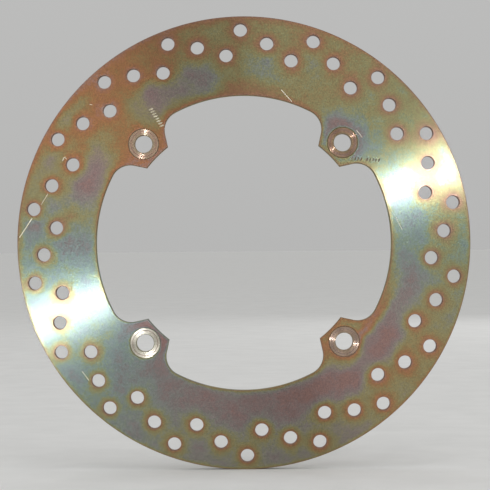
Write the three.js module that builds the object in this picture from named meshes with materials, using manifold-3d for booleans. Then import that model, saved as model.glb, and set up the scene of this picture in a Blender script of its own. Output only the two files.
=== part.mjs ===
// Rear brake disc of a motorcycle: a flat steel rotor plate, cross-drilled in slanted rows of three and
// carried on four inward lugs, with a flanged seat collar pressed into the bolt hole of each lug.
//
// The disc stands upright, as it does on the wheel. It spins about the Y axis, the face that the bolt
// heads sit on looks towards -Y and the face that meets the hub looks towards +Y. The origin is on the
// axis, half way through the thickness. Millimetres, +Z up.

import * as THREE from "three";
import { mergeVertices } from "three/addons/utils/BufferGeometryUtils.js";
import Module from "manifold-3d";

// Rotor plate
const OUTER_RADIUS = 110;
const THICKNESS = 5;
const RING_INNER_RADIUS = 71.7; // inner edge of the ring between two lugs

// Lugs
const LUGS = 4;
const FIRST_LUG = 45; // degrees from +X
const PILOT_RADIUS = 59.5; // the arc at each lug's tip, which centres the disc on the hub
const LUG_TIP_HALF_ANGLE = 7; // half the arc at the tip, degrees
const NOTCH_RADIUS = 9.5; // the round corner between a lug's side and the ring
const NOTCH_AZIMUTH = 17.5; // centre of that corner, degrees from the middle of the lug

// Bolt holes and their seat collars
const BOLT_CIRCLE_RADIUS = 68.35;
const BOLT_HOLE_RADIUS = 4.25; // clearance for an M8 bolt
const BORE_CHAMFER = 0.4;
const BARREL_RADIUS = 5.9;
const FLANGE_RADIUS = 7.4;
const FLANGE_THICKNESS = 1.5;
const FLANGE_CHAMFER = 0.2;
const GROOVE_RADIUS = 6.1; // the fine line turned into the flange's face
const GROOVE_WIDTH = 0.3;
const GROOVE_DEPTH = 0.2;
const COLLAR_SETBACK = 0.1; // how far the collar's face lies below the plate's face
const FIT_GAP = 0.2; // room left between a collar and its seat in the plate

// Vent holes: straight rows of three, each row slanted outwards and round the ring
const VENT_ROWS = 18;
const VENT_RADIUS = 3.25;
const VENT_ROW = [
  { radius: 91.4, azimuth: 15 },
  { radius: 97.4, azimuth: 23 },
  { radius: 103.4, azimuth: 30.5 },
];

// Flat sides that stand for one full turn of each round outline
const RIM_SIDES = 144;
const BORE_SIDES = 28;
const VENT_SIDES = 16;

const FACE = THICKNESS / 2; // height of either face above or below the mid-plane
const COLLAR_FACE = FACE - COLLAR_SETBACK;
const FLANGE_SEAT = COLLAR_FACE - FLANGE_THICKNESS; // underside of a collar's flange

const radians = THREE.MathUtils.degToRad;

const wasm = await Module();
wasm.setup();

// ---- outlines, drawn in the plane of the disc --------------------------------------------------------

function polar(radius, angle, centre = new THREE.Vector2()) {
  return new THREE.Vector2(Math.cos(angle), Math.sin(angle)).multiplyScalar(radius).add(centre);
}

// Points along an arc, both ends included, about as closely spaced as `sides` points to a full turn.
function arc(centre, radius, start, end, sides) {
  const steps = Math.max(2, Math.ceil((Math.abs(end - start) / (2 * Math.PI)) * sides));
  const points = [];
  for (let i = 0; i <= steps; i += 1) {
    points.push(polar(radius, start + ((end - start) * i) / steps, centre));
  }
  return points;
}

function circle(centre, radius, sides) {
  return arc(centre, radius, 0, 2 * Math.PI, sides).slice(0, -1);
}

// One half of a lug, from the ring's inner edge to the tip, for a lug whose middle points along +X. The
// corner arc touches the ring's inner edge at one end and runs into the lug's straight side at the other.
function halfLug() {
  const notchCentre = polar(RING_INNER_RADIUS - NOTCH_RADIUS, radians(NOTCH_AZIMUTH));
  const tipCorner = polar(PILOT_RADIUS, radians(LUG_TIP_HALF_ANGLE));
  const toNotch = notchCentre.clone().sub(tipCorner);
  const sideDirection = toNotch.angle() - Math.asin(NOTCH_RADIUS / toNotch.length());
  const sideMeetsNotch = sideDirection - Math.PI / 2;
  const corner = arc(notchCentre, NOTCH_RADIUS, radians(NOTCH_AZIMUTH), sideMeetsNotch, BORE_SIDES);
  return [...corner, tipCorner];
}

// The opening in the middle of the plate, clockwise: for each lug down one side, across the tip and up the
// other side, then along the ring's inner edge to the next lug.
function centreOpening() {
  const origin = new THREE.Vector2();
  const half = halfLug();
  const mirrored = half.map((p) => new THREE.Vector2(p.x, -p.y)).reverse();
  const tipAngle = radians(LUG_TIP_HALF_ANGLE);
  const tip = arc(origin, PILOT_RADIUS, tipAngle, -tipAngle, RIM_SIDES).slice(1, -1);
  const lugPitch = (2 * Math.PI) / LUGS;
  const ringStart = -radians(NOTCH_AZIMUTH);
  const ringEnd = radians(NOTCH_AZIMUTH) - lugPitch;
  const ring = arc(origin, RING_INNER_RADIUS, ringStart, ringEnd, RIM_SIDES).slice(1, -1);
  const quarter = [...half, ...tip, ...mirrored, ...ring];
  const points = [];
  for (let i = 0; i < LUGS; i += 1) {
    const turn = radians(FIRST_LUG) - i * lugPitch;
    quarter.forEach((p) => points.push(p.clone().rotateAround(origin, turn)));
  }
  return points;
}

function boltCentres() {
  return Array.from({ length: LUGS }, (_, i) =>
    polar(BOLT_CIRCLE_RADIUS, radians(FIRST_LUG) + (i * 2 * Math.PI) / LUGS),
  );
}

function ventCentres() {
  const centres = [];
  for (let row = 0; row < VENT_ROWS; row += 1) {
    const turn = (row * 2 * Math.PI) / VENT_ROWS;
    VENT_ROW.forEach(({ radius, azimuth }) => centres.push(polar(radius, radians(azimuth) + turn)));
  }
  return centres;
}

// ---- solids --------------------------------------------------------------------------------------------

function toSolid(geometry) {
  geometry.deleteAttribute("normal");
  geometry.deleteAttribute("uv");
  const merged = mergeVertices(geometry, 1e-4);
  const vertProperties = new Float32Array(merged.attributes.position.array);
  const triVerts = new Uint32Array(merged.index.array);
  return new wasm.Manifold(new wasm.Mesh({ numProp: 3, vertProperties, triVerts }));
}

function toGeometry(solid) {
  const mesh = solid.getMesh();
  const geometry = new THREE.BufferGeometry();
  geometry.setAttribute("position", new THREE.BufferAttribute(mesh.vertProperties, 3));
  geometry.setIndex(new THREE.BufferAttribute(mesh.triVerts, 1));
  geometry.computeVertexNormals();
  return geometry;
}

function cylinderAlongZ(radius, bottom, top, centre) {
  const cylinder = new THREE.CylinderGeometry(radius, radius, top - bottom, BORE_SIDES);
  cylinder.rotateX(Math.PI / 2);
  cylinder.translate(centre.x, centre.y, (top + bottom) / 2);
  return cylinder;
}

// The plate, with every hole cut through it and a shallow counterbore for each collar's flange.
function rotorPlate() {
  const outline = new THREE.Shape(circle(new THREE.Vector2(), OUTER_RADIUS, RIM_SIDES));
  outline.holes.push(new THREE.Path(centreOpening()));
  ventCentres().forEach((centre) => {
    outline.holes.push(new THREE.Path(circle(centre, VENT_RADIUS, VENT_SIDES)));
  });
  const blank = new THREE.ExtrudeGeometry(outline, { depth: THICKNESS, bevelEnabled: false });
  blank.translate(0, 0, -FACE);
  let plate = toSolid(blank);
  boltCentres().forEach((centre) => {
    const barrelSeat = cylinderAlongZ(BARREL_RADIUS + FIT_GAP, -THICKNESS, THICKNESS, centre);
    const flangeSeat = cylinderAlongZ(FLANGE_RADIUS + FIT_GAP, FLANGE_SEAT - FIT_GAP, THICKNESS, centre);
    plate = plate.subtract(toSolid(barrelSeat)).subtract(toSolid(flangeSeat));
  });
  return toGeometry(plate);
}

// A collar's section, revolved about the bolt's axis: barrel, flange, the fine line on the flange's face
// and the chamfered bore.
function seatCollar() {
  const grooveInner = GROOVE_RADIUS - GROOVE_WIDTH / 2;
  const grooveOuter = GROOVE_RADIUS + GROOVE_WIDTH / 2;
  const section = [
    [BOLT_HOLE_RADIUS, -FACE + BORE_CHAMFER],
    [BOLT_HOLE_RADIUS + BORE_CHAMFER, -FACE],
    [BARREL_RADIUS, -FACE],
    [BARREL_RADIUS, FLANGE_SEAT],
    [FLANGE_RADIUS, FLANGE_SEAT],
    [FLANGE_RADIUS, COLLAR_FACE - FLANGE_CHAMFER],
    [FLANGE_RADIUS - FLANGE_CHAMFER, COLLAR_FACE],
    [grooveOuter, COLLAR_FACE],
    [GROOVE_RADIUS, COLLAR_FACE - GROOVE_DEPTH],
    [grooveInner, COLLAR_FACE],
    [BOLT_HOLE_RADIUS + BORE_CHAMFER, COLLAR_FACE],
    [BOLT_HOLE_RADIUS, COLLAR_FACE - BORE_CHAMFER],
  ].map(([radius, height]) => new THREE.Vector2(radius, height));
  section.push(section[0].clone());
  const geometry = new THREE.LatheGeometry(section, BORE_SIDES);
  geometry.rotateX(Math.PI / 2);
  return geometry;
}

// ---- materials -----------------------------------------------------------------------------------------

// Ground steel, zinc plated and yellow passivated.
function platedSteel() {
  return new THREE.MeshStandardMaterial({ color: 0x9a8a66, roughness: 0.35, metalness: 1 });
}

// The same plating over a finely turned face, which comes out paler.
function turnedSteel() {
  return new THREE.MeshStandardMaterial({ color: 0xbdb295, roughness: 0.25, metalness: 1 });
}

// ---- assembly ------------------------------------------------------------------------------------------

const disc = new THREE.Group();

const plate = new THREE.Mesh(rotorPlate(), platedSteel());
plate.name = "rotor_plate";
disc.add(plate);

boltCentres().forEach((centre, i) => {
  const collar = new THREE.Mesh(seatCollar(), turnedSteel());
  collar.name = `seat_collar_${i + 1}`;
  collar.position.set(centre.x, centre.y, 0);
  disc.add(collar);
});

// Stands the disc up, so that its outer face looks towards -Y.
disc.rotation.x = Math.PI / 2;

export default disc;
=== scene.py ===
"""Looks of a motorcycle brake disc: a ground and yellow-passivated steel plate with four turned seat
collars, standing upright on a pale floor in soft studio light. Metres, +Z up, outer face towards -Y."""

import math

import bmesh
import bpy
import numpy as np
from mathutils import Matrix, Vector, geometry, kdtree, noise


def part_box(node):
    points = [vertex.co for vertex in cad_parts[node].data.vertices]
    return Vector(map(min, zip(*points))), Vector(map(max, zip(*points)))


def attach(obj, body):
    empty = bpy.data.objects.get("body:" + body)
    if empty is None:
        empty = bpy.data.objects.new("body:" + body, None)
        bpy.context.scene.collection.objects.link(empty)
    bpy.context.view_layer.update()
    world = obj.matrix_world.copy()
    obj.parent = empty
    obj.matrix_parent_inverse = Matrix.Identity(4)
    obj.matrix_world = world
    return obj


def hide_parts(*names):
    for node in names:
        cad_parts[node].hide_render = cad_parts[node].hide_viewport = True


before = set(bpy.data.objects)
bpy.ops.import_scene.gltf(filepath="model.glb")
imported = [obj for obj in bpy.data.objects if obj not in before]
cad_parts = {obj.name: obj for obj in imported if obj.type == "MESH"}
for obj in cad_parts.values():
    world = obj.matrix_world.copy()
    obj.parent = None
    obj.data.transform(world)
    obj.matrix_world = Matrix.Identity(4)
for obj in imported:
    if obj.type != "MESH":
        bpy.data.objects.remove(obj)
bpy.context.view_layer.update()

MM = 0.001

# ---- places and sizes that come from the frame -------------------------------------------------------

plate_low, plate_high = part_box("rotor_plate")
OUTER_RADIUS = plate_high.x
FRONT = plate_low.y
BACK = plate_high.y

COLLAR_NODES = sorted(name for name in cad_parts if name.startswith("seat_collar"))


def collar_centre(node):
    low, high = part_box(node)
    return ((low.x + high.x) / 2, (low.z + high.z) / 2)


BOLT_CENTRES = [collar_centre(node) for node in COLLAR_NODES]
collar_low, collar_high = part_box(COLLAR_NODES[0])
FLANGE_RADIUS = (collar_high.x - collar_low.x) / 2
COLLAR_FRONT = collar_low.y

# ---- sizes of the parts, as the CAD model has them ---------------------------------------------------

RING_INNER_RADIUS = 71.7 * MM
PILOT_RADIUS = 59.5 * MM
LUG_TIP_HALF_ANGLE = math.radians(7)
NOTCH_RADIUS = 9.5 * MM
NOTCH_AZIMUTH = math.radians(17.5)
LUGS = 4
FIRST_LUG = math.radians(45)
VENT_RADIUS = 3.25 * MM
VENT_ROWS = 18
VENT_ROW = ((91.4 * MM, 15), (97.4 * MM, 23), (103.4 * MM, 30.5))  # radius, degrees
BOLT_HOLE_RADIUS = 4.25 * MM
BARREL_RADIUS = 5.9 * MM
FLANGE_THICKNESS = 1.5 * MM
GROOVE_RADIUS = 6.1 * MM

# ---- fine detail that only the looks have ------------------------------------------------------------

RIM_EDGE = 0.25 * MM  # rounding of the rim and of the middle opening
VENT_EDGE = 0.12 * MM
SEAT_EDGE = 0.15 * MM
EDGE_STEPS = 3  # flat facets that make up a rounded edge
SEAT_GAP = 0.05 * MM  # room between a collar and its seat
RIM_SIDES = 360
BORE_SIDES = 64
VENT_SIDES = 40
GRID = 1.15 * MM  # spacing of the points across a face
GRID_CLEARANCE = 0.45  # how near an outline they may come, as a part of that spacing
HALO_RINGS = (0.45 * MM, 1.0 * MM)  # extra rows of points beside every edge, where the film changes fast
HALO_CLEARANCE = 0.4  # how near another outline a row may come, as a part of its distance from its own

GRINDING_CENTRE = (0.3 * MM, -0.8 * MM)  # the tool marks run round a point a little off the axis

# the last slot holds painted shade: a dark material on the flank of each punched stroke turned from the
# light
FACE, EDGE, WALL, MARK, PAINTED_SHADE = range(5)  # material slots of the plate; a collar has the first two


# ---- outlines in the plane of the disc, as (x, z) ----------------------------------------------------

def polar(radius, angle, centre=(0.0, 0.0)):
    return (centre[0] + radius * math.cos(angle), centre[1] + radius * math.sin(angle))


def turned(point, angle):
    c, s = math.cos(angle), math.sin(angle)
    return (point[0] * c - point[1] * s, point[0] * s + point[1] * c)


def arc(centre, radius, start, end, sides):
    """Points along an arc, both ends included, about as close as `sides` points to a full turn."""
    steps = max(2, math.ceil(abs(end - start) / math.tau * sides))
    return [polar(radius, start + (end - start) * i / steps, centre) for i in range(steps + 1)]


def circle(centre, radius, sides):
    return arc(centre, radius, 0.0, math.tau, sides)[:-1]


def opening(inset):
    """The opening in the middle of the plate, with its outline moved into the metal by `inset`."""
    notch = polar(RING_INNER_RADIUS - NOTCH_RADIUS, NOTCH_AZIMUTH)
    tip = polar(PILOT_RADIUS, LUG_TIP_HALF_ANGLE)
    to_notch = Vector(notch) - Vector(tip)
    side = math.atan2(to_notch.y, to_notch.x) - math.asin(NOTCH_RADIUS / to_notch.length)
    corner = arc(notch, NOTCH_RADIUS + inset, NOTCH_AZIMUTH, side - math.pi / 2, BORE_SIDES)
    # the straight side runs back from the corner until it meets the tip's arc
    foot, along = Vector(corner[-1]), Vector((math.cos(side), math.sin(side)))
    radius = PILOT_RADIUS + inset
    reach = foot.dot(along) - math.sqrt(foot.dot(along) ** 2 - foot.dot(foot) + radius ** 2)
    corner_point = foot - along * reach
    tip_angle = math.atan2(corner_point.y, corner_point.x)
    half = corner + [tuple(corner_point)]
    mirrored = [(x, -z) for x, z in reversed(half)]
    pitch = math.tau / LUGS
    tip_arc = arc((0, 0), radius, tip_angle, -tip_angle, RIM_SIDES)[1:-1]
    ring_radius = RING_INNER_RADIUS + inset
    ring = arc((0, 0), ring_radius, -NOTCH_AZIMUTH, NOTCH_AZIMUTH - pitch, RIM_SIDES)[1:-1]
    quarter = half + tip_arc + mirrored + ring
    return [turned(p, FIRST_LUG - i * pitch) for i in range(LUGS) for p in quarter]


def rim(inset):
    return circle((0, 0), OUTER_RADIUS - inset, RIM_SIDES)


def hole(centre, radius, sides):
    return lambda inset: circle(centre, radius + inset, sides)


VENT_CENTRES = [
    polar(radius, math.radians(azimuth) + row * math.tau / VENT_ROWS)
    for row in range(VENT_ROWS)
    for radius, azimuth in VENT_ROW
]


def edge_section(size):
    """A rounded edge's quarter circle as (inset, depth) pairs, from the face down to the wall."""
    angles = [i * math.pi / 2 / EDGE_STEPS for i in range(EDGE_STEPS + 1)]
    return [(size * (1 - math.sin(a)), size * (1 - math.cos(a))) for a in angles]


def through_section(size):
    """A straight wall with both its edges rounded, as (inset, y) pairs from front to back."""
    front = edge_section(size)
    return [(i, FRONT + d) for i, d in front] + [(i, BACK - d) for i, d in reversed(front)]


# ---- mesh building -----------------------------------------------------------------------------------

POINTS_PER_METRE = 1e7  # points that round to the same place on this scale are one point
SHARP_ANGLE = math.radians(50)  # edges that turn further than this are shaded as corners


class Surface:
    """Points that are shared where they coincide, and faces with a material slot each."""

    def __init__(self):
        self.points = []
        self.index = {}
        self.faces = []
        self.slots = []

    def point(self, x, y, z):
        key = tuple(round(value * POINTS_PER_METRE) for value in (x, y, z))
        if key not in self.index:
            self.index[key] = len(self.points)
            self.points.append((x, y, z))
        return self.index[key]

    def face(self, corners, slot):
        self.faces.append(corners)
        self.slots.append(slot)

    def wall(self, outline, section, slot, middle=None):
        """Joins copies of an outline, moved into the metal and back in depth as the section says. The
        straight part between two rounded edges can have a slot of its own."""
        rings = [[self.point(x, y, z) for x, z in outline(inset)] for inset, y in section]
        for k, (upper, lower) in enumerate(zip(rings, rings[1:])):
            strip_slot = middle if k == EDGE_STEPS and middle is not None else slot
            for i in range(len(upper)):
                j = (i + 1) % len(upper)
                self.face((upper[i], upper[j], lower[j], lower[i]), strip_slot)

    def to_object(self, name, materials):
        mesh = bpy.data.meshes.new(name)
        mesh.from_pydata(self.points, [], self.faces)
        mesh.polygons.foreach_set("material_index", self.slots)
        for material in materials:
            mesh.materials.append(material)
        obj = bpy.data.objects.new(name, mesh)
        bpy.context.scene.collection.objects.link(obj)
        return obj


def outward_and_smooth(obj):
    """Turns every face outwards and shades rounded edges smoothly while flat faces stay flat. Where two
    materials meet, the edge is a sharp one."""
    bpy.context.view_layer.objects.active = obj
    bpy.ops.object.select_all(action="DESELECT")
    obj.select_set(True)
    bpy.ops.object.mode_set(mode="EDIT")
    bpy.ops.mesh.select_all(action="SELECT")
    bpy.ops.mesh.normals_make_consistent(inside=False)
    bpy.ops.object.mode_set(mode="OBJECT")
    bpy.ops.object.shade_smooth_by_angle(angle=SHARP_ANGLE)
    shape = bmesh.new()
    shape.from_mesh(obj.data)
    for edge in shape.edges:
        if len({face.material_index for face in edge.link_faces}) > 1:
            edge.smooth = False
    shape.to_mesh(obj.data)
    shape.free()
    weighted = obj.modifiers.new("weighted_normals", "WEIGHTED_NORMAL")
    weighted.keep_sharp = True


def inside(outline, points):
    """Which of the points lie inside a closed outline."""
    result = np.zeros(len(points), bool)
    x, z = points[:, 0], points[:, 1]
    for (x0, z0), (x1, z1) in zip(outline, outline[1:] + outline[:1]):
        if z0 == z1:
            continue
        crosses = (z0 > z) != (z1 > z)
        result ^= crosses & (x < (x1 - x0) * (z - z0) / (z1 - z0) + x0)
    return result


# ---- marks: scratches, nicks and punched strokes -----------------------------------------------------

PUNCH_WIDTH, PUNCH_DEPTH = 0.75, 0.3  # millimetres, as all sizes of marks are
PUNCH_SLANT = math.radians(75)  # of a stroke from its row's direction


class Groove:
    """A V-shaped groove cut into the front face, from start to end, pointed at both ends. One of its
    sides can carry painted shade, a dark colour standing for the shade on the flank turned from the light."""

    def __init__(self, start, end, width, depth, shaded=False):
        start, end = Vector(start) * MM, Vector(end) * MM
        along = (end - start).normalized()
        across = Vector((-along.y, along.x)) * (width * MM / 2)
        taper = along * min(width * MM, (end - start).length / 3)
        near, far = start + taper, end - taper
        self.rim = [start, near + across, far + across, end, far - across, near - across]
        self.painted_shade_side = [start, near, far, end, far - across, near - across] if shaded else None
        self.floor = [near, far]
        self.depth = depth * MM


def punched_row(start, end, count, height, gap_after=None, shaded=False):
    """A row of short slanted strokes that spells nothing, with an optional wider gap, and optionally
    painted shade on one flank of each stroke.
    """
    start, end = Vector(start), Vector(end)
    along = (end - start).normalized()
    stroke = Vector(turned(along, PUNCH_SLANT)) * height
    places = [i + (1 if gap_after is not None and i >= gap_after else 0) for i in range(count)]
    step = (end - start) / max(places)
    row = []
    for place in places:
        middle = start + step * place
        row.append(Groove(middle - stroke / 2, middle + stroke / 2, PUNCH_WIDTH, PUNCH_DEPTH, shaded))
    return row


# places in millimetres across and up from the disc's centre
SCRATCHES = [
    Groove((-94.9, 24.6), (-98.4, 19.2), 0.22, 0.04),
    Groove((-102.6, 12.9), (-109.0, 3.3), 0.4, 0.06),
    Groove((18.6, 74.3), (23.9, 68.2), 0.3, 0.04),
    Groove((-79.1, -61.7), (-75.7, -66.3), 0.25, 0.04),
    Groove((73.6, 12.2), (77.0, 5.6), 0.25, 0.04),
    Groove((55.0, 54.4), (57.9, 50.6), 0.3, 0.04),
    Groove((-87.9, 40.4), (-86.7, 42.4), 0.35, 0.05),
    Groove((-86.5, 42.5), (-85.8, 41.2), 0.3, 0.05),
    Groove((-74.4, 67.9), (-72.9, 67.5), 0.3, 0.04),
]
PUNCHED_LEFT = punched_row((-44.6, 65.2), (-39.4, 57.2), count=8, height=2.5)
# these strokes carry painted shade: one flank of each is painted dark, as the light would leave it in
# shade
PUNCHED_RIGHT = punched_row((52.8, 40.5), (65.8, 39.5), count=9, height=2.3, gap_after=4, shaded=True)


# ---- how thick the passivation film is ---------------------------------------------------------------

OPENING_OUTLINE = np.array(opening(0.0))
OPENING_ENDS = np.roll(OPENING_OUTLINE, -1, axis=0)


def distance_to_opening(points):
    """Distance from each point to the outline of the opening."""
    sides = OPENING_ENDS - OPENING_OUTLINE
    length2 = (sides ** 2).sum(axis=1)
    nearest = np.full(len(points), np.inf)
    for corner, side, l2 in zip(OPENING_OUTLINE, sides, length2):
        t = np.clip(((points - corner) @ side) / l2, 0.0, 1.0)
        nearest = np.minimum(nearest, np.linalg.norm(points - corner - t[:, None] * side, axis=1))
    return nearest


SEED_STEP = (17.3, 5.1, 29.7)  # how far apart in the noise two neighbouring seeds are


def wander(points, size, seed):
    """Smooth noise about -1 to 1, with features of about `size`."""
    offset = Vector([seed * step for step in SEED_STEP])
    return np.array([noise.noise(Vector((x, 0.0, z)) / size + offset) for x, z in points])


# How the film grows round the disc: azimuth in degrees, thickness in the inner part of the ring and among
# the vent holes, how far from an edge it takes to come near to that, in millimetres, and how much painted
# sheen its colours carry, from 0 where they are blurred to 1 where they are clear. The clear, saturated
# colours are painted along the two directions, about 20 and 200 degrees, where the key lamp's fan
# highlight falls, and stand in for the coloured tails of that reflection.
GROWTH = (
    (0, 0.72, 0.62, 2.4, 0.85),
    (20, 0.66, 0.62, 2.4, 1.0),
    (50, 0.48, 0.56, 3.0, 0.6),
    (66, 0.43, 0.51, 3.2, 0.35),
    (82, 0.60, 0.55, 3.2, 0.5),
    (91, 0.54, 0.57, 3.5, 0.45),
    (101, 0.78, 0.58, 4.0, 0.4),
    (110, 0.88, 0.50, 4.0, 0.25),
    (122, 1.02, 0.36, 4.0, 0.05),
    (133, 0.38, 0.27, 4.0, 0.0),
    (142, 0.42, 0.31, 4.0, 0.0),
    (151, 0.94, 0.48, 4.0, 0.0),
    (160, 0.98, 0.64, 3.4, 0.1),
    (170, 0.56, 0.66, 2.2, 0.5),
    (180, 0.75, 0.70, 1.7, 0.8),
    (192, 0.65, 0.68, 1.5, 1.0),
    (220, 0.70, 0.73, 1.6, 0.85),
    (236, 0.77, 0.75, 2.2, 0.6),
    (252, 0.84, 0.77, 3.2, 0.35),
    (280, 0.96, 0.80, 3.6, 0.3),
    (300, 1.12, 0.77, 4.0, 0.15),
    (320, 1.12, 0.50, 4.0, 0.1),
    (338, 0.85, 0.60, 3.2, 0.3),
    (350, 0.75, 0.66, 2.6, 0.6),
)

# Where the bath pooled or ran off: azimuth in degrees, radius, half length, half width (mm), lean from
# the ring's direction in degrees, and how much thicker the film is there.
PATCHES = (
    (47, 70, 10, 8, 0, 0.85),
    (66, 90, 10, 4, 90, 0.08),
    (70, 95, 5, 5, 0, 0.20),
    (73, 88, 4, 4, 0, -0.14),
    (84, 87, 7, 7, 0, 0.14),
    (84, 75, 15, 5, 0, -0.20),
    (94, 76, 5, 8, 0, -0.20),
    (136, 66, 9, 8, 0, -0.25),
    (143, 105, 11, 4, 0, 0.42),
    (153, 88, 8, 4, 0, -0.45),
    (155, 102, 8, 4, 30, 0.20),
    (172, 87, 9, 3, 40, -0.22),
    (174, 102, 6, 5, 0, 0.12),
    (225, 62, 12, 7, 0, 0.48),
    (313, 68, 13, 10, 0, -1.00),
    (327, 73, 20, 3, 0, -0.75),
)


INNER_PART_END = 86 * MM  # from here to where the outer part starts, one thickness turns into the other
OUTER_PART_START = 93 * MM
STRAY, STRAY_SIZE = 2.5 * MM, 8 * MM  # how far the pattern strays from the tables, and over what size
BLOTCHES = ((0.07, 12 * MM, 5), (0.09, 4 * MM, 6))  # change in thickness, size and noise seed of each kind
EDGE_FILM = 0.3 * MM  # a sharp edge carries as much film as a place this far from it would
EDGE_RAGGEDNESS, RAGGED_SIZE = 0.4, 7 * MM  # how unevenly the film thins out towards an edge
CREASE_ROUNDING = 1.0 * MM
VENT_SCALE = 1  # how many times as fast as at a vent hole the film grows away from each kind of edge
BOLT_SCALE = 4
FALL_OFF = 0.8  # below 1, the thin film at an edge makes a narrower band
THICKEST = 1.2


def rim_scale(azimuth):
    """How many times as fast the film grows away from the rim as from a vent hole, at each azimuth in
    degrees. It is greatest at the lower right."""
    return 2.0 - 1.2 * np.cos(np.radians(azimuth - 130))


def opening_scale(azimuth):
    """The same for the edge of the middle opening. It is greatest at the lower left."""
    two_lobes = np.cos(np.radians(2 * (azimuth - 50)))
    return 1.9 + two_lobes - 0.6 * np.sin(np.radians(azimuth))


def distance_to_edges(points, azimuth):
    """Distance to the nearest edge, with the creases between two of them rounded off. Each distance is
    first made longer by its edge's scale."""
    to_rim = OUTER_RADIUS - np.linalg.norm(points, axis=1)
    distances = [
        rim_scale(azimuth) * (to_rim + EDGE_FILM),
        opening_scale(azimuth) * (distance_to_opening(points) + EDGE_FILM),
    ]
    holes = [(centre, VENT_RADIUS, VENT_SCALE) for centre in VENT_CENTRES]
    holes += [(centre, FLANGE_RADIUS, BOLT_SCALE) for centre in BOLT_CENTRES]
    for centre, radius, scale in holes:
        to_hole = np.abs(np.linalg.norm(points - np.array(centre), axis=1) - radius)
        distances.append(scale * (to_hole + EDGE_FILM))
    closeness = sum(np.exp(-distance / CREASE_ROUNDING) for distance in distances)
    return np.clip(-CREASE_ROUNDING * np.log(closeness), 0.0, None)


def azimuths_of(points):
    """The azimuth of each (x, z) in degrees."""
    return np.degrees(np.arctan2(points[:, 1], points[:, 0]))


def patch_change(points):
    """How much thicker than GROWTH says the PATCHES make the film at each (x, z)."""
    change = np.zeros(len(points))
    for azimuth, radius, length, width, lean, thicker in PATCHES:
        angle = math.radians(azimuth)
        offset = points - np.array(polar(radius * MM, angle))
        direction = angle + math.pi / 2 - math.radians(lean)
        along = offset @ np.array(polar(1 / (length * MM), direction))
        across = offset @ np.array(polar(1 / (width * MM), direction + math.pi / 2))
        change += thicker * np.exp(-along ** 2 - across ** 2)
    return change


def plate_film(points):
    """How thick the plate's film is at each (x, z), from 0 at a bare edge to about 1.

    It thins out towards every edge and hole, grows and shrinks round the disc as GROWTH and PATCHES say,
    and wanders a little everywhere."""
    shift = np.stack([wander(points, STRAY_SIZE, seed) for seed in (7, 8)], axis=1)
    strayed = points + STRAY * shift
    azimuth = azimuths_of(strayed)
    azimuths, inner, outer, reaches, _ = zip(*GROWTH)
    past_inner = np.linalg.norm(strayed, axis=1) - INNER_PART_END
    outwards = np.clip(past_inner / (OUTER_PART_START - INNER_PART_END), 0.0, 1.0)
    level = (1 - outwards) * np.interp(azimuth, azimuths, inner, period=360)
    level += outwards * np.interp(azimuth, azimuths, outer, period=360)
    level += patch_change(strayed)
    for amount, size, seed in BLOTCHES:
        level += amount * wander(points, size, seed)
    distance = distance_to_edges(points, azimuth)
    distance *= 1 + EDGE_RAGGEDNESS * wander(points, RAGGED_SIZE, seed=4)
    reach = np.interp(azimuth, azimuths, reaches, period=360) * MM
    return np.clip(level * (1 - np.exp(-distance / reach)) ** FALL_OFF, 0.0, THICKEST)


def painted_sheen(points):
    """How much painted sheen the film's colours carry at each (x, z): clear, saturated colours along the
    key lamp's fan highlight, blurred ones away from it.
    """
    azimuths, _, _, _, clear = zip(*GROWTH)
    return np.interp(azimuths_of(points), azimuths, clear, period=360)


def store_film(obj, film):
    """Stores the film's thickness, which film(points) gives, and its painted sheen at every vertex."""
    points = np.array([(v.co.x, v.co.z) for v in obj.data.vertices])
    for name, numbers in (("film", film(points)), ("painted_sheen", painted_sheen(points))):
        attribute = obj.data.attributes.new(name, "FLOAT", "POINT")
        attribute.data.foreach_set("value", numbers.astype(np.float32))


# ---- the plate ---------------------------------------------------------------------------------------

TRIANGULATION_TOLERANCE = 1e-9


def add_face(surface, y, outlines, grooves):
    """Fills one face of the plate with triangles between its outlines, the first of them the outer."""
    points, edges = [], []

    def add_loop(loop):
        first = len(points)
        points.extend(Vector(p) for p in loop)
        edges.extend((first + i, first + (i + 1) % len(loop)) for i in range(len(loop)))

    for outline, inset in outlines:
        add_loop(outline(inset))
    for groove in grooves:
        add_loop(groove.rim)
    floor_depth = {}
    for groove in grooves:
        edges.append((len(points), len(points) + 1))
        for p in groove.floor:
            floor_depth[len(points)] = groove.depth
            points.append(p)
    for ring in HALO_RINGS:
        for outline, inset in outlines:
            points.extend(clear_of(points, outline(inset + ring), HALO_CLEARANCE * ring))
    points.extend(clear_of(points, face_grid(), GRID_CLEARANCE * GRID))

    triangulation = geometry.delaunay_2d_cdt(points, edges, [], 0, TRIANGULATION_TOLERANCE)
    corners, _, triangles, sources, _, _ = triangulation
    depth = [max((floor_depth.get(s, 0.0) for s in source), default=0.0) for source in sources]
    centres = np.array([sum((corners[i] for i in t), Vector((0, 0))) / 3 for t in triangles])
    loops = [outline(inset) for outline, inset in outlines]
    solid = inside(loops[0], centres)
    for loop in loops[1:]:
        solid &= ~inside(loop, centres)
    slots = np.full(len(centres), FACE)
    for groove in grooves:
        slots[inside([tuple(p) for p in groove.rim], centres)] = MARK
        # painted shade: the flank of a stroke turned from the light gets the dark slot
        if groove.painted_shade_side:
            slots[inside([tuple(p) for p in groove.painted_shade_side], centres)] = PAINTED_SHADE
    for triangle, is_solid, slot in zip(triangles, solid, slots):
        if is_solid:
            corner_ids = [surface.point(corners[i].x, y + depth[i], corners[i].y) for i in triangle]
            surface.face(corner_ids, int(slot))


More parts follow.
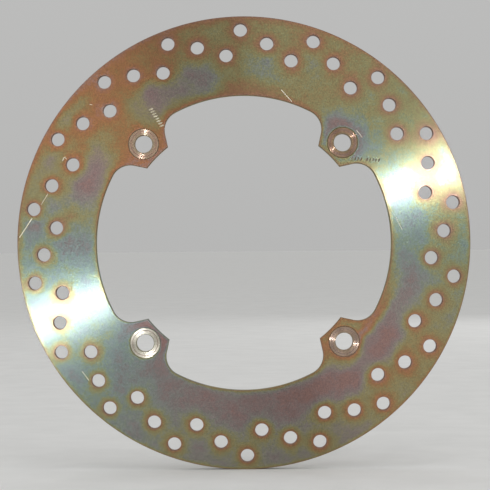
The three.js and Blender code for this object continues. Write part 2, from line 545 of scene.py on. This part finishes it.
def face_grid():
    """Rows of evenly spaced points across the ring and the lugs."""
    row_height = GRID * math.sqrt(0.75)
    rows = int(2 * OUTER_RADIUS / row_height) + 1
    columns = int(2 * OUTER_RADIUS / GRID) + 1
    row, column = np.mgrid[0:rows, 0:columns]
    x = (column + 0.5 * (row % 2)) * GRID - OUTER_RADIUS
    z = row * row_height - OUTER_RADIUS
    radius = np.hypot(x, z)
    keep = (radius > PILOT_RADIUS) & (radius < OUTER_RADIUS - RIM_EDGE)
    return list(zip(x[keep], z[keep]))


def clear_of(taken, candidates, distance):
    """Those candidates that are further than a distance from every point already taken."""
    tree = kdtree.KDTree(len(taken))
    for i, p in enumerate(taken):
        tree.insert((p[0], p[1], 0.0), i)
    tree.balance()
    return [Vector(p) for p in candidates if tree.find((p[0], p[1], 0.0))[2] > distance]


def make_plate(materials):
    """The plate: its walls, each collar's stepped seat and the two faces, the front one with its marks."""
    surface = Surface()
    vents = [hole(c, VENT_RADIUS, VENT_SIDES) for c in VENT_CENTRES]
    seat_radius = FLANGE_RADIUS + SEAT_GAP
    bore_radius = BARREL_RADIUS + SEAT_GAP
    seat_floor = COLLAR_FRONT + FLANGE_THICKNESS + SEAT_GAP
    front_seats = [hole(c, seat_radius, BORE_SIDES) for c in BOLT_CENTRES]
    back_bores = [hole(c, bore_radius, BORE_SIDES) for c in BOLT_CENTRES]

    surface.wall(rim, through_section(RIM_EDGE), EDGE, WALL)
    surface.wall(opening, through_section(RIM_EDGE), EDGE, WALL)
    for vent in vents:
        surface.wall(vent, through_section(VENT_EDGE), EDGE)
    seat = [(i, FRONT + d) for i, d in edge_section(SEAT_EDGE)]
    to_bore = bore_radius - seat_radius
    seat += [(0.0, seat_floor), (to_bore, seat_floor)]
    seat += [(to_bore + i, BACK - d) for i, d in reversed(edge_section(SEAT_EDGE))]
    for outline in front_seats:
        surface.wall(outline, seat, EDGE)

    around = [(rim, RIM_EDGE), (opening, RIM_EDGE)] + [(vent, VENT_EDGE) for vent in vents]
    marks = SCRATCHES + PUNCHED_LEFT + PUNCHED_RIGHT
    add_face(surface, FRONT, around + [(s, SEAT_EDGE) for s in front_seats], marks)
    add_face(surface, BACK, around + [(b, SEAT_EDGE) for b in back_bores], [])
    plate = surface.to_object("disc_plate", materials)
    store_film(plate, plate_film)
    outward_and_smooth(plate)
    return plate


# ---- the collars -------------------------------------------------------------------------------------

BORE_EDGE = 0.2 * MM  # rounding of the bore's edges
FLANGE_EDGE = 0.18 * MM  # rounding of the flange's edge
ROUNDING_KNEE = 0.3  # where a rounded edge's middle point lies, as a part of the rounding
GROOVE_HALF_WIDTH = 0.1 * MM
GROOVE_DEPTH = 0.05 * MM
COLLAR_BANDS = 0.2  # how much the film's thickness swings from band to band across a flange
COLLAR_BAND_PHASE = 2.2 * math.pi  # from the bore to the flange's edge


def make_collar(name, centre, materials, tone):
    """One flanged collar, turned about the bolt's axis. Its film is about as thick as the tone says."""
    top, seat = COLLAR_FRONT, COLLAR_FRONT + FLANGE_THICKNESS
    section = [
        (BOLT_HOLE_RADIUS, BACK - BORE_EDGE),
        (BOLT_HOLE_RADIUS, top + BORE_EDGE),
        (BOLT_HOLE_RADIUS + ROUNDING_KNEE * BORE_EDGE, top + ROUNDING_KNEE * BORE_EDGE),
        (BOLT_HOLE_RADIUS + BORE_EDGE, top),
        (GROOVE_RADIUS - GROOVE_HALF_WIDTH, top),
        (GROOVE_RADIUS, top + GROOVE_DEPTH),
        (GROOVE_RADIUS + GROOVE_HALF_WIDTH, top),
        (FLANGE_RADIUS - FLANGE_EDGE, top),
        (FLANGE_RADIUS - ROUNDING_KNEE * FLANGE_EDGE, top + ROUNDING_KNEE * FLANGE_EDGE),
        (FLANGE_RADIUS, top + FLANGE_EDGE),
        (FLANGE_RADIUS, seat),
        (BARREL_RADIUS, seat),
        (BARREL_RADIUS, BACK - SEAT_EDGE),
        (BARREL_RADIUS - SEAT_EDGE, BACK),
        (BOLT_HOLE_RADIUS + BORE_EDGE, BACK),
        (BOLT_HOLE_RADIUS, BACK - BORE_EDGE),
    ]
    surface = Surface()
    ring = hole(centre, 0.0, BORE_SIDES)
    for (r0, y0), (r1, y1) in zip(section, section[1:]):
        flat = y0 == y1 and y0 in (top, BACK)
        surface.wall(ring, [(r0, y0), (r1, y1)], FACE if flat else EDGE)
    collar = surface.to_object(name, materials)

    def film(points):
        radius = np.linalg.norm(points - np.array(centre), axis=1)
        across = (radius - BOLT_HOLE_RADIUS) / (FLANGE_RADIUS - BOLT_HOLE_RADIUS)
        return tone + COLLAR_BANDS * np.sin(across * COLLAR_BAND_PHASE)

    store_film(collar, film)
    outward_and_smooth(collar)
    return collar


# ---- materials ---------------------------------------------------------------------------------------

MIX_FACTOR, MIX_A, MIX_B, MIX_RESULT = 0, 6, 7, 2  # sockets of a Mix node that mixes colours


class Nodes:
    """Short names for the node tree calls that every material below makes."""

    def __init__(self, name):
        self.material = bpy.data.materials.new(name)
        self.material.use_nodes = True
        self.tree = self.material.node_tree
        self.shader = self.tree.nodes["Principled BSDF"]

    def add(self, kind, **settings):
        node = self.tree.nodes.new(kind)
        for key, value in settings.items():
            setattr(node, key, value)
        return node

    def link(self, source, target):
        self.tree.links.new(source, target)

    def math(self, operation, a, b=None, clamp=False):
        node = self.add("ShaderNodeMath", operation=operation, use_clamp=clamp)
        for socket, value in zip(node.inputs, (a, b)):
            if isinstance(value, bpy.types.NodeSocket):
                self.link(value, socket)
            elif value is not None:
                socket.default_value = value
        return node.outputs[0]

    def noise(self, vector, scale, detail=2.0, roughness=0.5):
        node = self.add("ShaderNodeTexNoise")
        node.inputs["Scale"].default_value = scale
        node.inputs["Detail"].default_value = detail
        node.inputs["Roughness"].default_value = roughness
        self.link(vector, node.inputs["Vector"])
        return node.outputs["Fac"]

    def ramp(self, factor, stops):
        node = self.add("ShaderNodeValToRGB")
        elements = node.color_ramp.elements
        while len(elements) < len(stops):
            elements.new(0.5)
        for element, (position, colour) in zip(elements, stops):
            element.position = position
            element.color = (*colour, 1.0)
        self.link(factor, node.inputs[0])
        return node.outputs["Color"]

    def combine(self, x, y, z):
        node = self.add("ShaderNodeCombineXYZ")
        for socket, value in zip(node.inputs, (x, y, z)):
            if isinstance(value, bpy.types.NodeSocket):
                self.link(value, socket)
            else:
                socket.default_value = value
        return node.outputs[0]


# The interference colours of the film as it thickens: thickness, colour where painted sheen makes them
# clear and colour where they are blurred. The clear colours are more saturated and stand in for the tails
# of the key lamp's highlight.
FILM_COLOURS = (
    (0.00, (0.27, 0.19, 0.17), (0.29, 0.185, 0.15)),
    (0.08, (0.28, 0.175, 0.14), (0.318, 0.147, 0.088)),
    (0.18, (0.29, 0.172, 0.115), (0.325, 0.133, 0.045)),
    (0.30, (0.275, 0.187, 0.10), (0.288, 0.15, 0.05)),
    (0.42, (0.265, 0.222, 0.10), (0.256, 0.198, 0.076)),
    (0.52, (0.265, 0.268, 0.112), (0.25, 0.217, 0.103)),
    (0.61, (0.20, 0.287, 0.20), (0.245, 0.194, 0.125)),
    (0.69, (0.187, 0.275, 0.272), (0.24, 0.183, 0.145)),
    (0.78, (0.193, 0.205, 0.20), (0.23, 0.166, 0.15)),
    (0.88, (0.235, 0.175, 0.165), (0.232, 0.152, 0.143)),
    (1.00, (0.255, 0.15, 0.135), (0.245, 0.135, 0.115)),
)


PALE_METAL = (0.45, 0.43, 0.37)  # what a film colour tends to where the plating is thin and bright
SPECK_SCALE = 1700.0
SPECKLE = 1.15  # how far the finest specks lighten and darken the colour


def film_colour(nodes, place, mottle_scale, mottle, paleness=0.0, thicker=0.0):
    """The film's colour from its stored thickness, which a fine mottle and `thicker` change first. The
    stored painted sheen mixes in the clear colours that stand in for the key lamp's highlight. The
    paleness is how far the colours tend to PALE_METAL, and fine specks lie over them."""
    film = nodes.add("ShaderNodeAttribute", attribute_name="film").outputs["Fac"]
    clear = nodes.add("ShaderNodeAttribute", attribute_name="painted_sheen").outputs["Fac"]
    fine = nodes.noise(place, mottle_scale, detail=3.0)
    shift = nodes.math("MULTIPLY", nodes.math("SUBTRACT", fine, 0.5 - thicker / mottle), mottle)
    thickness = nodes.math("ADD", film, shift, clamp=True)

    def pale(colour):
        return tuple(c + paleness * (bright - c) for c, bright in zip(colour, PALE_METAL))

    blurred_colour = nodes.ramp(thickness, [(t, pale(blurred)) for t, _, blurred in FILM_COLOURS])
    sheen_colour = nodes.ramp(thickness, [(t, pale(vivid)) for t, vivid, _ in FILM_COLOURS])
    # painted sheen: where it is high, the clear, saturated colours stand in for the key lamp's highlight
    mix = nodes.add("ShaderNodeMix", data_type="RGBA")
    nodes.link(clear, mix.inputs[MIX_FACTOR])
    nodes.link(blurred_colour, mix.inputs[MIX_A])
    nodes.link(sheen_colour, mix.inputs[MIX_B])

    speck = nodes.math("SUBTRACT", nodes.noise(place, SPECK_SCALE, detail=1.0), 0.5)
    brightness = nodes.math("ADD", nodes.math("MULTIPLY", speck, SPECKLE), 1.0)
    speckled = nodes.add("ShaderNodeVectorMath", operation="SCALE")
    nodes.link(mix.outputs[MIX_RESULT], speckled.inputs[0])
    nodes.link(brightness, speckled.inputs["Scale"])
    return speckled.outputs[0]


TILT_ACROSS = 0.30  # how far the normal swings across the tool marks
WOBBLE_SCALE = 0.7
PHASE_WOBBLE = 10.0  # how far noise shifts the marks' phase, so that they aren't perfect circles
GRAIN_SCALE = 1900.0


def tool_marks(nodes, place, centre, pitch, arc_detail, tilt_along):
    """The shading normal of a face with fine concentric tool marks about an axis along Y.

    Across a mark the normal swings far to either side, along it hardly at all, which is what draws a
    lamp's reflection out into a fan. Most points tilt very little along the marks and a few tilt more,
    which gives the fan its bright core and soft borders."""
    parts = nodes.add("ShaderNodeSeparateXYZ")
    nodes.link(place, parts.inputs[0])
    x = nodes.math("SUBTRACT", parts.outputs["X"], centre[0])
    z = nodes.math("SUBTRACT", parts.outputs["Z"], centre[1])
    square = nodes.math("ADD", nodes.math("MULTIPLY", x, x), nodes.math("MULTIPLY", z, z))
    radius = nodes.math("SQRT", square)
    round_x = nodes.math("DIVIDE", x, radius)
    round_z = nodes.math("DIVIDE", z, radius)
    marks = nodes.math("DIVIDE", radius, pitch)
    strip = nodes.combine(
        marks,
        nodes.math("MULTIPLY", round_x, arc_detail),
        nodes.math("MULTIPLY", round_z, arc_detail),
    )
    wobble = nodes.math("MULTIPLY", nodes.noise(strip, WOBBLE_SCALE, detail=1.0), PHASE_WOBBLE)
    phase = nodes.math("ADD", nodes.math("MULTIPLY", marks, math.tau), wobble)
    across = nodes.math("MULTIPLY", nodes.math("SINE", phase), TILT_ACROSS)
    grain = nodes.math("SUBTRACT", nodes.noise(place, GRAIN_SCALE, detail=1.0), 0.5)
    peaked = nodes.math("MULTIPLY", grain, nodes.math("ABSOLUTE", grain))
    along = nodes.math("MULTIPLY", peaked, tilt_along)

    # across the marks is outwards from the axis, along them is a quarter turn on from that
    tilt_x = nodes.math("SUBTRACT", nodes.math("MULTIPLY", round_x, across),
                        nodes.math("MULTIPLY", round_z, along))
    tilt_z = nodes.math("ADD", nodes.math("MULTIPLY", round_z, across),
                        nodes.math("MULTIPLY", round_x, along))
    normal = nodes.add("ShaderNodeNewGeometry").outputs["Normal"]
    total = nodes.add("ShaderNodeVectorMath", operation="ADD")
    nodes.link(normal, total.inputs[0])
    nodes.link(nodes.combine(tilt_x, 0.0, tilt_z), total.inputs[1])
    unit = nodes.add("ShaderNodeVectorMath", operation="NORMALIZE")
    nodes.link(total.outputs[0], unit.inputs[0])
    return unit.outputs[0]


FACE_MOTTLE_SCALE, FACE_MOTTLE = 1400.0, 0.45
GRIT_SCALE = 1500.0
SMOOTHEST, ROUGHEST = 0.8, 1.2  # as parts of the mean roughness


def ground_steel(name, centre, pitch, arc_detail, tilt_along, roughness, paleness=0.0):
    """Plated steel whose tool marks run in circles, so that its highlights spread outwards in a fan."""
    nodes = Nodes(name)
    shader = nodes.shader
    place = nodes.add("ShaderNodeTexCoord").outputs["Object"]
    colour = film_colour(nodes, place, FACE_MOTTLE_SCALE, FACE_MOTTLE, paleness)
    nodes.link(colour, shader.inputs["Base Color"])
    shader.inputs["Metallic"].default_value = 0.82
    shader.inputs["IOR"].default_value = 2.5
    shader.inputs["Anisotropic"].default_value = 1.0
    shader.inputs["Anisotropic Rotation"].default_value = 0.25
    tangent = nodes.add("ShaderNodeTangent", direction_type="RADIAL", axis="Y")
    nodes.link(tangent.outputs[0], shader.inputs["Tangent"])
    rough = nodes.add("ShaderNodeMapRange")
    rough.inputs["To Min"].default_value = SMOOTHEST * roughness
    rough.inputs["To Max"].default_value = ROUGHEST * roughness
    nodes.link(nodes.noise(place, GRIT_SCALE), rough.inputs["Value"])
    nodes.link(rough.outputs["Result"], shader.inputs["Roughness"])
    normal = tool_marks(nodes, place, centre, pitch, arc_detail, tilt_along)
    nodes.link(normal, shader.inputs["Normal"])
    return nodes.material


PIT_SCALE = 2500.0
PIT_DEPTH = 0.01 * MM


def plated_edge(name, paleness=0.0, mottle_scale=900.0, mottle=0.12, thicker=0.0):
    """Rounded edges and walls: plated, but neither ground nor turned."""
    nodes = Nodes(name)
    place = nodes.add("ShaderNodeTexCoord").outputs["Object"]
    colour = film_colour(nodes, place, mottle_scale, mottle, paleness, thicker)
    nodes.link(colour, nodes.shader.inputs["Base Color"])
    nodes.shader.inputs["Metallic"].default_value = 0.9
    nodes.shader.inputs["Roughness"].default_value = 0.8
    bump = nodes.add("ShaderNodeBump")
    bump.inputs["Distance"].default_value = PIT_DEPTH
    nodes.link(nodes.noise(place, PIT_SCALE), bump.inputs["Height"])
    nodes.link(bump.outputs[0], nodes.shader.inputs["Normal"])
    return nodes.material


CUT_GRAIN_SCALE = 900.0
FLOOR_GRAIN_SCALE = 40.0
NOISE_LOW, NOISE_HIGH = 0.3, 0.7  # most of a noise's values lie between these


def cut_metal(name, darker, lighter):
    """The sides of scratches and punch marks. A dark copy of it is painted shade on the flank of each
    punched stroke turned from the light.
    """
    nodes = Nodes(name)
    place = nodes.add("ShaderNodeTexCoord").outputs["Object"]
    tint = nodes.ramp(nodes.noise(place, CUT_GRAIN_SCALE), ((NOISE_LOW, darker), (NOISE_HIGH, lighter)))
    nodes.link(tint, nodes.shader.inputs["Base Color"])
    nodes.shader.inputs["Metallic"].default_value = 0.7
    nodes.shader.inputs["Roughness"].default_value = 0.45
    return nodes.material


def pale_floor():
    """Nearly white and matt, with a faint unevenness."""
    nodes = Nodes("pale_floor")
    place = nodes.add("ShaderNodeTexCoord").outputs["Object"]
    stops = ((NOISE_LOW, (0.76, 0.76, 0.75)), (NOISE_HIGH, (0.80, 0.80, 0.79)))
    tint = nodes.ramp(nodes.noise(place, FLOOR_GRAIN_SCALE), stops)
    nodes.link(tint, nodes.shader.inputs["Base Color"])
    nodes.shader.inputs["Roughness"].default_value = 0.9
    return nodes.material


# ---- studio ------------------------------------------------------------------------------------------

CAMERA_DISTANCE = 0.85
DISC_IN_FRAME = 0.9247  # the disc's diameter as a part of the picture's side
AIM = (0.53 * MM, -1.08 * MM)  # the point of the disc's plane at the centre of the picture, x and z
ROLL = math.radians(0.47)

KEY_DISTANCE = 0.6
KEY_MIRROR_POINT = (-60.4 * MM, -22.6 * MM)  # where a flat plate would show the lamp's reflection
KEY_AIM = (-40 * MM, 0.0, -15 * MM)  # left of the middle, because the left highlight is the brighter
KEY_SIZE = 0.012

# These two lamps stand low. Narrow beams keep them from burning out the floor beside them.
KEY_BEAM = math.radians(50)
SIDE_BEAM = math.radians(100)


def make_camera():
    """Square on to the disc, from far enough away for the photo's slight perspective."""
    data = bpy.data.cameras.new("camera")
    front_distance = CAMERA_DISTANCE + FRONT
    data.sensor_width = 36.0
    seen_half = OUTER_RADIUS / DISC_IN_FRAME
    data.lens = data.sensor_width / 2 * front_distance / seen_half
    data.clip_start, data.clip_end = 0.01, 50.0
    camera = bpy.data.objects.new("camera", data)
    camera.location = (AIM[0], -CAMERA_DISTANCE, AIM[1])
    camera.rotation_euler = (math.pi / 2, ROLL, 0.0)
    bpy.context.scene.collection.objects.link(camera)
    bpy.context.scene.camera = camera


def add_light(name, place, data, aim=(0.0, 0.0, 0.0)):
    """Hangs a lamp up and points it. The camera doesn't see it."""
    light = bpy.data.objects.new(name, data)
    light.location = place
    light.rotation_euler = (Vector(aim) - Vector(place)).to_track_quat("-Z", "Y").to_euler()
    light.visible_camera = False
    bpy.context.scene.collection.objects.link(light)


def soft_light(name, place, size, power, beam=math.pi):
    """A round soft box that faces the disc."""
    data = bpy.data.lights.new(name, "AREA")
    data.shape = "DISK"
    data.size = size
    data.energy = power
    data.spread = beam
    add_light(name, place, data)


def key_light(name, place, power, colour):
    """A small bright lamp with a narrow beam that fades out towards its edge. It draws the bow tie."""
    data = bpy.data.lights.new(name, "SPOT")
    data.shadow_soft_size = KEY_SIZE / 2
    data.energy = power
    data.color = colour
    data.spot_size = KEY_BEAM
    data.spot_blend = 1.0
    add_light(name, place, data, KEY_AIM)


def make_lights():
    beyond_mirror = 1 + KEY_DISTANCE / CAMERA_DISTANCE
    key_x, key_z = (coordinate * beyond_mirror for coordinate in KEY_MIRROR_POINT)
    key_light("key", (key_x, -KEY_DISTANCE, key_z), power=2.27, colour=(1.0, 1.0, 1.08))
    soft_light("soft_top", (0.28, -0.75, 0.5), size=0.6, power=0.58)
    soft_light("soft_side", (-0.41, -0.9, 0.19), size=0.6, power=0.3, beam=SIDE_BEAM)
    soft_light("overhead", (0.1, -0.2, 1.6), size=1.0, power=3.0)
    soft_light("back_fill", (0.5, 1.6, 0.5), size=0.15, power=1.5)


HORIZON = 0.47  # radiance of the surround at the horizon and below it
ZENITH = 0.69  # and straight overhead


def make_world():
    """A pale surround that gets brighter towards the top."""
    world = bpy.data.worlds.new("studio")
    world.use_nodes = True
    tree = world.node_tree
    place = tree.nodes.new("ShaderNodeTexCoord")
    parts = tree.nodes.new("ShaderNodeSeparateXYZ")
    tree.links.new(place.outputs["Generated"], parts.inputs[0])
    height = tree.nodes.new("ShaderNodeMapRange")
    height.inputs["To Min"].default_value = HORIZON
    height.inputs["To Max"].default_value = ZENITH
    tree.links.new(parts.outputs["Z"], height.inputs["Value"])
    tree.links.new(height.outputs["Result"], tree.nodes["Background"].inputs["Strength"])
    tree.nodes["Background"].inputs["Color"].default_value = (1.0, 1.0, 0.99, 1.0)
    bpy.context.scene.world = world


FLOOR_SIDE = 60.0
FLOOR_GAP = 0.02 * MM  # between the floor and the lowest point of the disc


def make_floor():
    mesh = bpy.data.meshes.new("floor")
    level = plate_low.z - FLOOR_GAP
    reach = FLOOR_SIDE / 2
    corners = [(x * reach, y * reach, level) for x, y in ((-1, -1), (1, -1), (1, 1), (-1, 1))]
    mesh.from_pydata(corners, [], [(0, 1, 2, 3)])
    mesh.materials.append(pale_floor())
    floor = bpy.data.objects.new("floor", mesh)
    bpy.context.scene.collection.objects.link(floor)


# ---- assembly ----------------------------------------------------------------------------------------

make_camera()
make_lights()
make_world()
make_floor()
bpy.context.scene.view_settings.view_transform = "Standard"

plate_edge = plated_edge("plated_edge", paleness=0.2)
plate_wall = plated_edge("plated_wall", mottle_scale=60.0, mottle=0.6, thicker=0.33)
bare_mark = cut_metal("bare_mark", darker=(0.60, 0.54, 0.40), lighter=(0.80, 0.77, 0.66))
# painted shade: a dark copy of the cut metal for the flank of each punched stroke turned from the light
painted_shade_mark = cut_metal("painted_shade_mark", darker=(0.15, 0.10, 0.08), lighter=(0.21, 0.15, 0.12))
plate_face = ground_steel(
    "ground_face", GRINDING_CENTRE, pitch=0.22 * MM, arc_detail=200.0, tilt_along=0.17, roughness=0.185
)
plate = make_plate([plate_face, plate_edge, plate_wall, bare_mark, painted_shade_mark])
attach(plate, "root")
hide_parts("rotor_plate")

# where each collar's film lies in FILM_COLOURS, and how far its colours are paled towards PALE_METAL
COLLAR_LOOKS = ((0.26, 0.08), (0.28, 0.35), (0.45, 0.75), (0.22, 0.4))

turned_edge = plated_edge("turned_edge", paleness=0.4)
for node, centre, (tone, paleness) in zip(COLLAR_NODES, BOLT_CENTRES, COLLAR_LOOKS):
    turned_face = ground_steel(
        f"turned_{node}", centre, pitch=0.2 * MM, arc_detail=6.0, tilt_along=0.05, roughness=0.25,
        paleness=paleness,
    )
    collar = make_collar(f"visual_{node}", centre, [turned_face, turned_edge], tone)
    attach(collar, "root")
    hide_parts(node)
